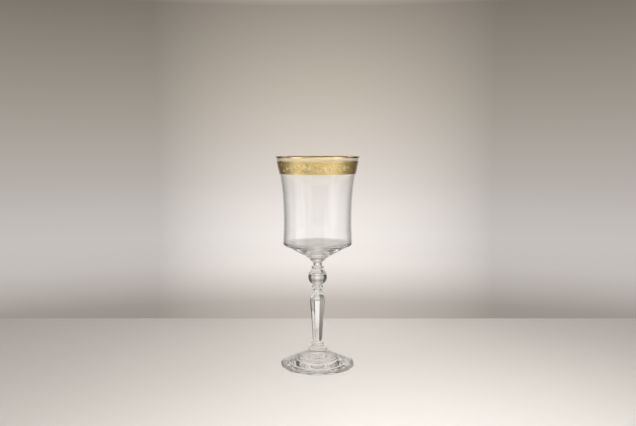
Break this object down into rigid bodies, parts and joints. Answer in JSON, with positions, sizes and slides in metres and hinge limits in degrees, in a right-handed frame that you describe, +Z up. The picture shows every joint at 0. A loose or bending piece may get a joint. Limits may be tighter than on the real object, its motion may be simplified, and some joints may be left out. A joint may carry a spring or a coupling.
{
  "type": "red wine glass",
  "caption": "Clear crystal red wine glass: flared bowl on a thick conical base, turned stem with a ball knop and a faceted baluster, sloping foot, gilded lip line and gilded scroll frieze.",
  "frame": {"origin": "centre of the plane that the foot's standing ring lies in", "axes": "+Z up along the axis of the stem and bowl, -Y towards the viewer, with a flat side of the baluster 7 degrees to the left of that"},
  "size_m": [0.0844, 0.0844, 0.2133],
  "materials": {
    "clear_crystal": "fire-polished clear crystal glass",
    "etched_gold": "fired gold over an acid-etched scroll frieze, satin ground with burnished relief",
    "bright_gold": "burnished fired gold line"
  },
  "bodies": {
    "root": {"foot": "clear_crystal", "foot_collar": "clear_crystal", "baluster_stem": "clear_crystal", "neck_collar": "clear_crystal", "ball_knop": "clear_crystal", "knop_ring": "clear_crystal", "bowl_collar": "clear_crystal", "bowl": "clear_crystal", "gilded_frieze": "etched_gold", "gilded_lip_line": "bright_gold"}
  },
  "joints": []
}
